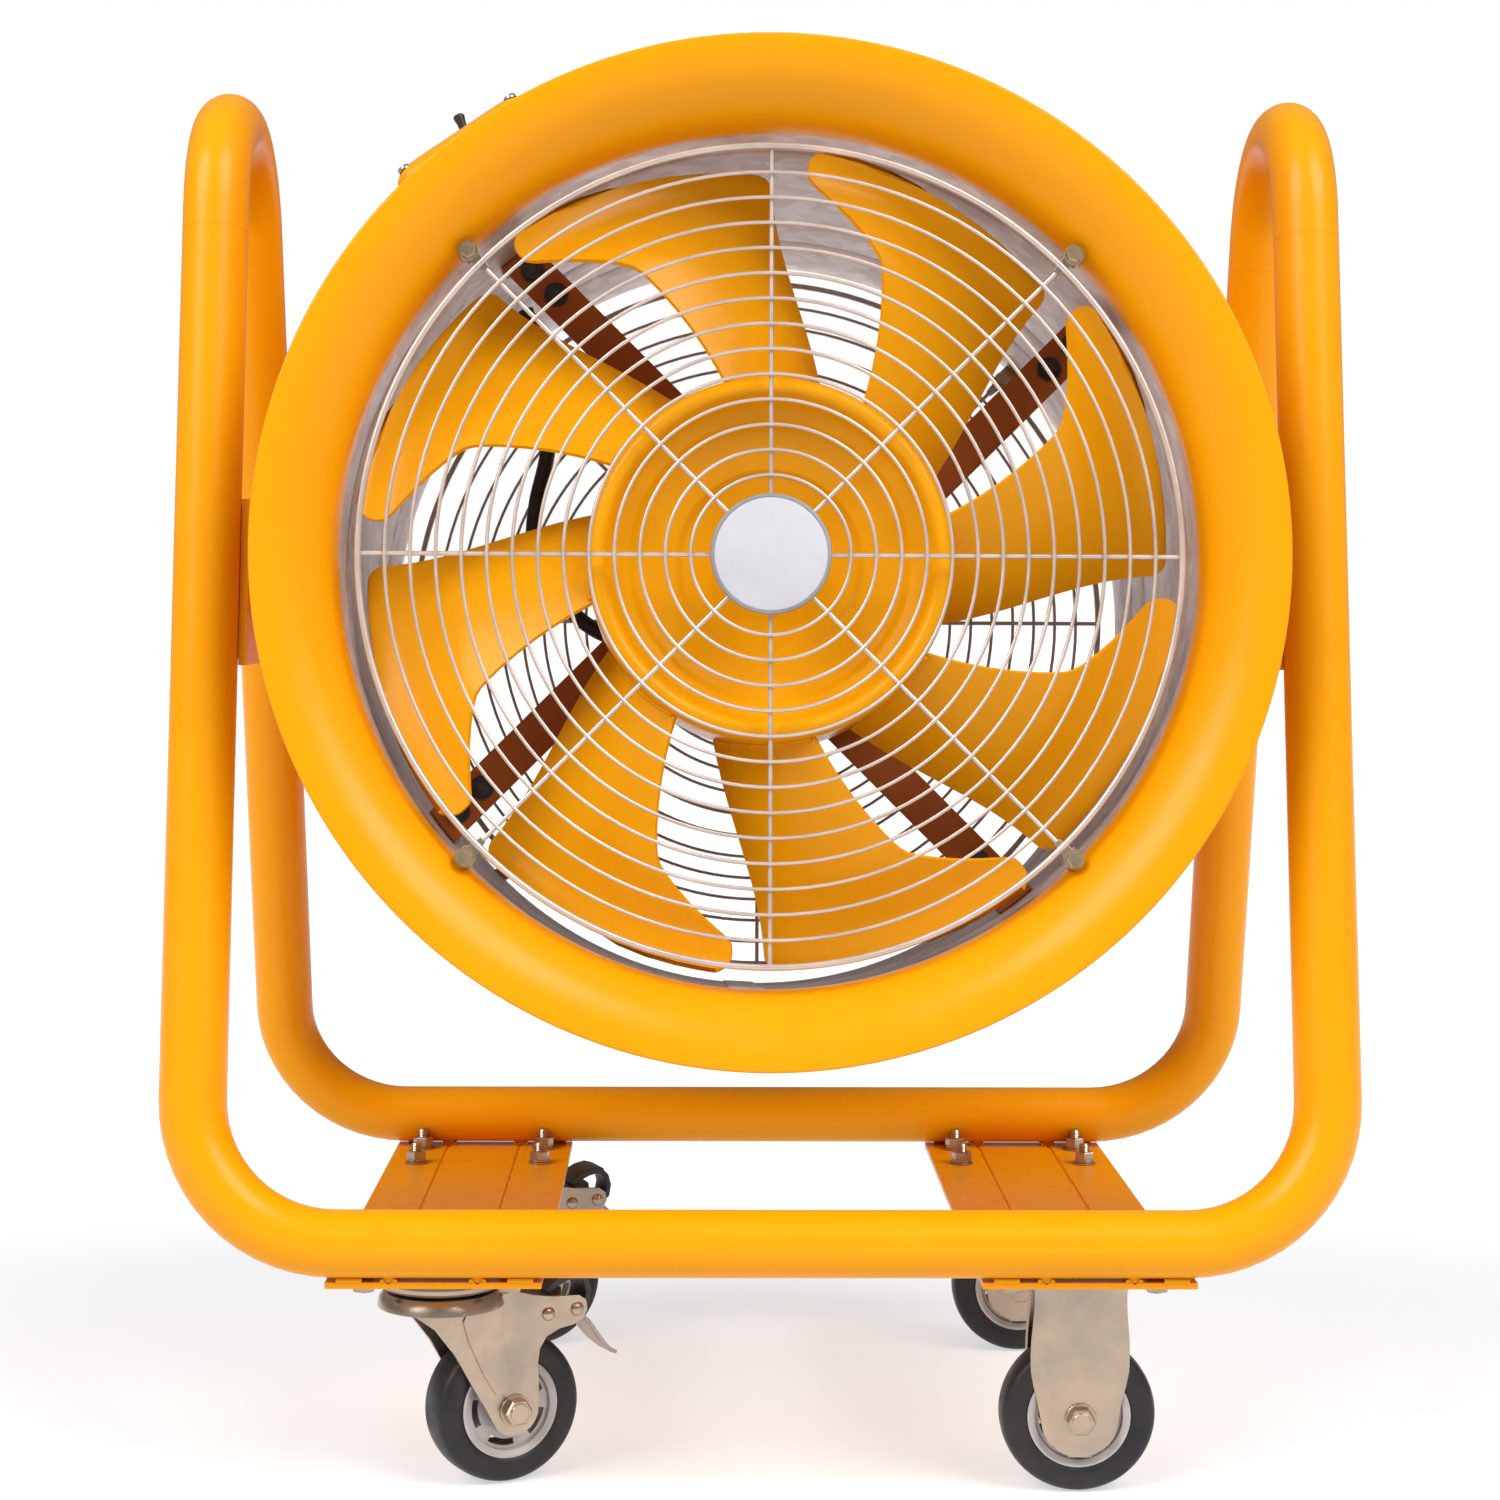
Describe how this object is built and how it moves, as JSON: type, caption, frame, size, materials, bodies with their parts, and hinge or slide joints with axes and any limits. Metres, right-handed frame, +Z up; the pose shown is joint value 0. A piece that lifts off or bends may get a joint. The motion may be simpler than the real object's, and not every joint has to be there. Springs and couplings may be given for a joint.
{
  "type": "axial air mover",
  "caption": "Portable axial ventilation fan: a wide-lipped drum with wire guards and a bladed impeller, tilting in a bent-tube trolley on casters.",
  "frame": {"origin": "on the floor, midway between the four casters, under the drum's pivot axis", "axes": "+Z up, -Y is the side that the drum's bell mouth faces, +X to the right seen from that side"},
  "size_m": [0.753, 0.4924, 0.9195],
  "materials": {
    "yellow_paint": "gloss enamel",
    "galvanised_steel": "dull galvanised",
    "zinc_steel": "bright zinc plate",
    "pedal_steel": "pressed steel, black tab",
    "bare_steel": "machined",
    "motor_paint": "semi-gloss",
    "wheel_rim": "satin",
    "tyre_rubber": "matt rubber",
    "black_plastic": "matt",
    "cap_plastic": "smooth"
  },
  "bodies": {
    "trolley": {"front_frame_tube": "yellow_paint", "rear_frame_tube": "yellow_paint", "left_top_bend": "yellow_paint", "right_top_bend": "yellow_paint", "left_base_plate": "yellow_paint", "right_base_plate": "yellow_paint", "left_pivot_plate": "yellow_paint", "right_pivot_plate": "yellow_paint", "front_right_caster_fork": "zinc_steel", "rear_right_caster_fork": "zinc_steel", "front_right_axle_bolt": "zinc_steel", "rear_right_axle_bolt": "zinc_steel", "front_left_caster_plate": "zinc_steel", "rear_left_caster_plate": "zinc_steel"},
    "drum": {"bell_mouth": "yellow_paint", "casing_barrel": "galvanised_steel", "left_pivot_bolt": "zinc_steel", "right_pivot_bolt": "zinc_steel", "front_guard": "zinc_steel", "rear_guard": "zinc_steel", "guard_cap": "cap_plastic", "motor_strut_1": "motor_paint", "motor_strut_2": "motor_paint", "motor_strut_3": "motor_paint", "motor_strut_4": "motor_paint", "motor_body": "motor_paint", "motor_front_shield": "motor_paint", "front_bearing": "bare_steel", "rear_bearing": "bare_steel", "terminal_box": "yellow_paint", "terminal_box_lid": "yellow_paint", "switch_collar": "black_plastic", "cable_gland": "black_plastic", "motor_lead": "black_plastic"},
    "impeller": {"motor_rotor": "bare_steel", "impeller_hub": "yellow_paint", "blade_1": "yellow_paint", "blade_2": "yellow_paint", "blade_3": "yellow_paint", "blade_4": "yellow_paint", "blade_5": "yellow_paint", "blade_6": "yellow_paint", "blade_7": "yellow_paint", "blade_8": "yellow_paint", "hub_bolt": "zinc_steel"},
    "switch_lever": {"toggle_switch": "black_plastic"},
    "front_right_wheel": {"front_right_wheel_rim": "wheel_rim", "front_right_wheel_tyre": "tyre_rubber"},
    "rear_right_wheel": {"rear_right_wheel_rim": "wheel_rim", "rear_right_wheel_tyre": "tyre_rubber"},
    "front_left_wheel": {"front_left_wheel_rim": "wheel_rim", "front_left_wheel_tyre": "tyre_rubber"},
    "rear_left_wheel": {"rear_left_wheel_rim": "wheel_rim", "rear_left_wheel_tyre": "tyre_rubber"},
    "front_left_swivel": {"front_left_caster_fork": "zinc_steel", "front_left_axle_bolt": "zinc_steel"},
    "front_left_brake": {"front_left_brake_pedal": "pedal_steel"},
    "rear_left_swivel": {"rear_left_caster_fork": "zinc_steel", "rear_left_axle_bolt": "zinc_steel"},
    "rear_left_brake": {"rear_left_brake_pedal": "pedal_steel"}
  },
  "joints": [
    {"name": "drum_tilt", "type": "hinge", "parent": "trolley", "child": "drum", "pos_m": [0, 0, 0.575], "axis": [-1, 0, 0], "range_deg": [-97, 83]},
    {"name": "impeller_spin", "type": "hinge", "parent": "drum", "child": "impeller", "pos_m": [0.004, 0, 0.575], "axis": [0, -0.9925, 0.1219], "continuous": true},
    {"name": "switch_toggle", "type": "hinge", "parent": "drum", "child": "switch_lever", "pos_m": [-0.20181, 0.03822, 0.88624], "axis": [0, 0.9925, -0.1219], "range_deg": [-24, 0]},
    {"name": "front_right_wheel_spin", "type": "hinge", "parent": "trolley", "child": "front_right_wheel", "pos_m": [0.204, -0.174, 0.05], "axis": [0, 1, 0], "continuous": true},
    {"name": "rear_right_wheel_spin", "type": "hinge", "parent": "trolley", "child": "rear_right_wheel", "pos_m": [0.204, 0.174, 0.05], "axis": [0, 1, 0], "continuous": true},
    {"name": "front_left_caster_swivel", "type": "hinge", "parent": "trolley", "child": "front_left_swivel", "pos_m": [-0.204, -0.174, 0.13], "axis": [0, 0, 1], "continuous": true},
    {"name": "front_left_wheel_spin", "type": "hinge", "parent": "front_left_swivel", "child": "front_left_wheel", "pos_m": [-0.16692, -0.15428, 0.05], "axis": [-0.4695, 0.8829, 0], "continuous": true},
    {"name": "front_left_brake_press", "type": "hinge", "parent": "front_left_swivel", "child": "front_left_brake", "pos_m": [-0.1316, -0.1355, 0.113], "axis": [-0.4695, 0.8829, 0], "range_deg": [-20, 0]},
    {"name": "rear_left_caster_swivel", "type": "hinge", "parent": "trolley", "child": "rear_left_swivel", "pos_m": [-0.204, 0.174, 0.13], "axis": [0, 0, 1], "continuous": true},
    {"name": "rear_left_wheel_spin", "type": "hinge", "parent": "rear_left_swivel", "child": "rear_left_wheel", "pos_m": [-0.16506, 0.18973, 0.05], "axis": [-0.3746, 0.9272, 0], "continuous": true},
    {"name": "rear_left_brake_press", "type": "hinge", "parent": "rear_left_swivel", "child": "rear_left_brake", "pos_m": [-0.12797, 0.20472, 0.113], "axis": [-0.3746, 0.9272, 0], "range_deg": [-20, 0]}
  ]
}
